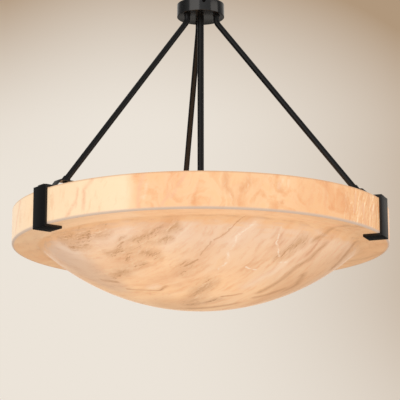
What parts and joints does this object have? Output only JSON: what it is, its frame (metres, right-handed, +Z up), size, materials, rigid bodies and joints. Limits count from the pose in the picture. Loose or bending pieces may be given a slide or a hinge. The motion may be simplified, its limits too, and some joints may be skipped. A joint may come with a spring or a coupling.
{
  "type": "dome chandelier",
  "caption": "Ceiling light with a marbled translucent bowl held at its rim by flat bar clips on bent tube arms, with a lamp cluster on a centre stem.",
  "frame": {"origin": "centre of the ceiling plane, between the mounting strap's two slots, at the top of the canopy", "axes": "+Z up into the ceiling; +Y towards the arm that is at the back in the picture, so one clip lies on +Y"},
  "size_m": [0.9144, 0.9218, 0.7701],
  "materials": {
    "black_metal": "satin black powder coat",
    "black_screws": "black oxide",
    "zinc_steel": "bright zinc plate",
    "green_screw": "green dyed",
    "faux_alabaster": "marbled cast acrylic, satin, translucent",
    "felt_pad": "thin felt",
    "porcelain": "glazed",
    "brass": "bright",
    "lamp_cap": "rolled thread",
    "frosted_glass": "frosted, lit",
    "cable_sheath": "smooth sheath",
    "connector_plastic": "moulded",
    "earth_wire": "insulated wire",
    "lead_wire": "insulated wire",
    "block_plastic": "moulded"
  },
  "bodies": {
    "fixture": {"mounting_strap": "zinc_steel", "earth_screw": "green_screw", "canopy": "black_metal", "arm_1": "black_metal", "arm_2": "black_metal", "arm_3": "black_metal", "arm_collars": "black_metal", "arm_nipples": "zinc_steel", "arm_nuts": "zinc_steel", "arm_ferrules": "black_metal", "foot_screws": "black_screws", "stem": "black_metal", "stem_nipples": "zinc_steel", "stem_nuts": "zinc_steel", "bowl": "faux_alabaster", "bowl_band": "faux_alabaster", "cluster_body": "black_metal", "cluster_cover": "black_metal", "cover_screws": "zinc_steel", "lamp_nipples": "zinc_steel", "lamp_nuts": "zinc_steel", "lampholder_1": "porcelain", "lampholder_2": "porcelain", "lampholder_3": "porcelain", "lampholder_4": "porcelain", "lampholder_5": "porcelain", "lampholder_6": "porcelain", "screw_shells": "brass", "centre_contacts": "brass", "supply_cable": "cable_sheath", "wire_connectors": "connector_plastic", "earth_lead": "earth_wire", "terminal_block": "block_plastic", "lamp_leads": "lead_wire"},
    "clip_1": {"rim_clip_1": "black_metal", "clip_pad_1": "felt_pad", "arm_foot_1": "black_metal", "clip_screws_1": "black_screws"},
    "clip_2": {"rim_clip_2": "black_metal", "clip_pad_2": "felt_pad", "arm_foot_2": "black_metal", "clip_screws_2": "black_screws"},
    "clip_3": {"rim_clip_3": "black_metal", "clip_pad_3": "felt_pad", "arm_foot_3": "black_metal", "clip_screws_3": "black_screws"},
    "lamp_1": {"bulb_1": "frosted_glass", "bulb_cap_1": "lamp_cap"},
    "lamp_2": {"bulb_2": "frosted_glass", "bulb_cap_2": "lamp_cap"},
    "lamp_3": {"bulb_3": "frosted_glass", "bulb_cap_3": "lamp_cap"},
    "lamp_4": {"bulb_4": "frosted_glass", "bulb_cap_4": "lamp_cap"},
    "lamp_5": {"bulb_5": "frosted_glass", "bulb_cap_5": "lamp_cap"},
    "lamp_6": {"bulb_6": "frosted_glass", "bulb_cap_6": "lamp_cap"},
    "side_screw_1": {"canopy_screw_1": "black_screws"},
    "side_screw_2": {"canopy_screw_2": "black_screws"}
  },
  "joints": [
    {"name": "clip_1_slide", "type": "slide", "parent": "fixture", "child": "clip_1", "axis": [0, 1, 0], "range_m": [0, 0.042]},
    {"name": "clip_2_slide", "type": "slide", "parent": "fixture", "child": "clip_2", "axis": [-0.866, -0.5, 0], "range_m": [0, 0.042]},
    {"name": "clip_3_slide", "type": "slide", "parent": "fixture", "child": "clip_3", "axis": [0.866, -0.5, 0], "range_m": [0, 0.042]},
    {"name": "lamp_1_unscrew", "type": "hinge", "parent": "fixture", "child": "lamp_1", "pos_m": [0, 0, -0.5956], "axis": [-0.6157, -0.788, 0], "range_deg": [0, 1080]},
    {"name": "lamp_2_unscrew", "type": "hinge", "parent": "fixture", "child": "lamp_2", "pos_m": [0, 0, -0.5956], "axis": [0.3746, -0.9272, 0], "range_deg": [0, 1080]},
    {"name": "lamp_3_unscrew", "type": "hinge", "parent": "fixture", "child": "lamp_3", "pos_m": [0, 0, -0.5956], "axis": [0.9903, -0.1392, 0], "range_deg": [0, 1080]},
    {"name": "lamp_4_unscrew", "type": "hinge", "parent": "fixture", "child": "lamp_4", "pos_m": [0, 0, -0.5956], "axis": [0.6157, 0.788, 0], "range_deg": [0, 1080]},
    {"name": "lamp_5_unscrew", "type": "hinge", "parent": "fixture", "child": "lamp_5", "pos_m": [0, 0, -0.5956], "axis": [-0.3746, 0.9272, 0], "range_deg": [0, 1080]},
    {"name": "lamp_6_unscrew", "type": "hinge", "parent": "fixture", "child": "lamp_6", "pos_m": [0, 0, -0.5956], "axis": [-0.9903, 0.1392, 0], "range_deg": [0, 1080]},
    {"name": "side_screw_1_turn_out", "type": "slide", "parent": "fixture", "child": "side_screw_1", "axis": [0, -1, 0], "range_m": [0, 0.01]},
    {"name": "side_screw_2_turn_out", "type": "slide", "parent": "fixture", "child": "side_screw_2", "axis": [0, 1, 0], "range_m": [0, 0.01]}
  ]
}
